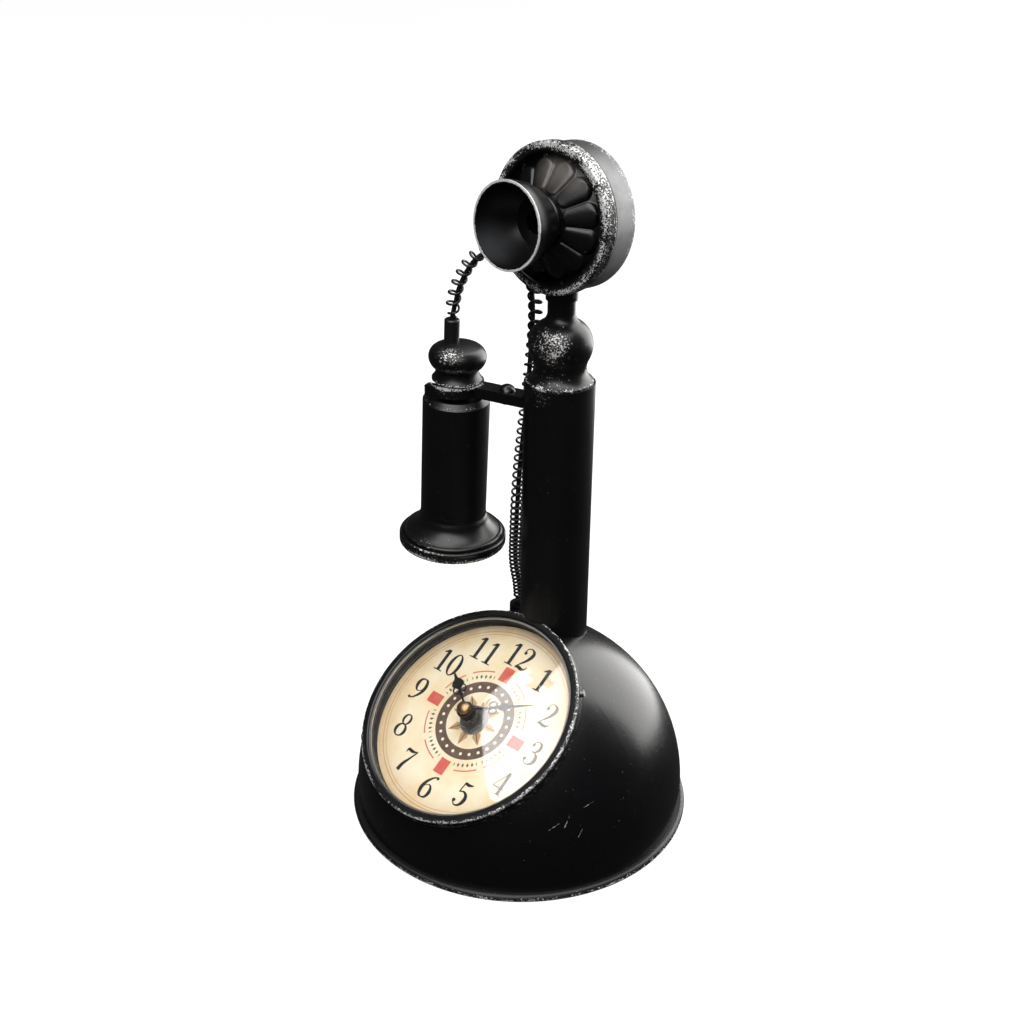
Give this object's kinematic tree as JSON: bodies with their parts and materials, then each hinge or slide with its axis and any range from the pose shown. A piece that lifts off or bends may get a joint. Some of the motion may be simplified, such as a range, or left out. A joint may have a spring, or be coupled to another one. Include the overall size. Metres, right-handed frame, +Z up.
{
  "type": "candlestick telephone desk clock",
  "caption": "Desk clock in the shape of a candlestick telephone: domed base with a leaning dial, column, transmitter head, hanging receiver and curly cord.",
  "frame": {"origin": "middle of the face that the base stands on", "axes": "+Z up along the column, -Y to the front where the dial and mouthpiece face, +X to the right seen from the front"},
  "size_m": [0.1426, 0.1426, 0.2788],
  "materials": {
    "black_iron": "satin black paint, silver dry-brushed on the edges",
    "worn_iron": "black paint rubbed back to grey",
    "bright_steel": "bright",
    "glass": "clear",
    "dark_plastic": "moulded",
    "pale_plastic": "moulded",
    "dial_paper": "printed",
    "rubber": "matt",
    "battery_jacket": "plain jacket",
    "board": "solder mask",
    "copper_wire": "enamelled winding",
    "brass": "polished",
    "cord_rubber": "satin black"
  },
  "bodies": {
    "stand": {"base_dome": "black_iron", "base_flange": "black_iron", "battery": "battery_jacket", "bezel_ring": "black_iron", "bezel_screws": "bright_steel", "bush_nut": "bright_steel", "bush_washer": "bright_steel", "centre_bush": "dark_plastic", "circuit_board": "board", "clock_drum": "black_iron", "coil": "copper_wire", "coil_core": "bright_steel", "column_tube": "black_iron", "contact_minus": "bright_steel", "contact_plus": "bright_steel", "cord_gland": "black_iron", "curly_cord": "cord_rubber", "dial_card": "dial_paper", "dial_gasket": "rubber", "dial_plate": "bright_steel", "face_plate": "black_iron", "finial": "black_iron", "front_ring": "black_iron", "glass": "glass", "hook_bracket": "black_iron", "hook_fork": "black_iron", "hook_rivet": "black_iron", "mouthpiece": "black_iron", "mouthpiece_nut": "worn_iron", "movement_back": "dark_plastic", "movement_case": "dark_plastic", "neck_collar": "black_iron", "quartz_crystal": "bright_steel", "spacer_ring": "dark_plastic", "stator": "bright_steel", "train_plate": "pale_plastic", "transmitter_cup": "worn_iron", "trim_wire": "bright_steel"},
    "minute_hand": {"minute_arbor": "bright_steel", "minute_hand": "black_iron", "hand_cap": "brass"},
    "hour_hand": {"hour_wheel": "pale_plastic", "hour_hand": "black_iron"},
    "setting_wheel": {"minute_wheel": "pale_plastic", "set_knob": "pale_plastic"},
    "rotor": {"rotor": "pale_plastic"},
    "fifth_wheel": {"fifth_wheel": "pale_plastic"},
    "second_wheel": {"second_wheel": "pale_plastic"},
    "third_wheel": {"third_wheel": "pale_plastic"},
    "centre_wheel": {"centre_wheel": "pale_plastic"},
    "receiver": {"receiver_body": "black_iron", "receiver_knob": "black_iron", "receiver_cap": "black_iron", "cord_ferrule": "cord_rubber"}
  },
  "joints": [
    {"name": "minute_hand_turn", "type": "hinge", "parent": "stand", "child": "minute_hand", "pos_m": [0, -0.02266, 0.04396], "axis": [0, 0.5664, -0.8241], "continuous": true},
    {"name": "hour_hand_turn", "type": "hinge", "parent": "stand", "child": "hour_hand", "pos_m": [0, -0.02266, 0.04396], "axis": [0, 0.5664, -0.8241], "continuous": true},
    {"name": "setting_turn", "type": "hinge", "parent": "stand", "child": "setting_wheel", "pos_m": [-0.01128, -0.01927, 0.04629], "axis": [0, 0.5664, -0.8241], "continuous": true},
    {"name": "rotor_turn", "type": "hinge", "parent": "stand", "child": "rotor", "pos_m": [-0.00847, -0.00974, 0.05284], "axis": [0, 0.5664, -0.8241], "continuous": true},
    {"name": "fifth_wheel_turn", "type": "hinge", "parent": "stand", "child": "fifth_wheel", "pos_m": [-0.00177, -0.01438, 0.04965], "axis": [0, 0.5664, -0.8241], "continuous": true},
    {"name": "second_wheel_turn", "type": "hinge", "parent": "stand", "child": "second_wheel", "pos_m": [0, -0.02266, 0.04396], "axis": [0, 0.5664, -0.8241], "continuous": true},
    {"name": "third_wheel_turn", "type": "hinge", "parent": "stand", "child": "third_wheel", "pos_m": [0.00958, -0.01978, 0.04594], "axis": [0, 0.5664, -0.8241], "continuous": true},
    {"name": "centre_wheel_turn", "type": "hinge", "parent": "stand", "child": "centre_wheel", "pos_m": [0, -0.02266, 0.04396], "axis": [0, 0.5664, -0.8241], "continuous": true},
    {"name": "receiver_pull", "type": "slide", "parent": "stand", "child": "receiver", "axis": [-0.9641, -0.2656, 0], "range_m": [0, 0.03]}
  ],
  "couplings": [
    {"joint": "hour_hand_turn", "follows": "minute_hand_turn", "ratio": 0.083333},
    {"joint": "setting_turn", "follows": "minute_hand_turn", "ratio": -0.33333},
    {"joint": "fifth_wheel_turn", "follows": "rotor_turn", "ratio": -0.16667},
    {"joint": "second_wheel_turn", "follows": "rotor_turn", "ratio": 0.033333},
    {"joint": "third_wheel_turn", "follows": "rotor_turn", "ratio": -0.0044444},
    {"joint": "centre_wheel_turn", "follows": "rotor_turn", "ratio": 0.00055556}
  ]
}
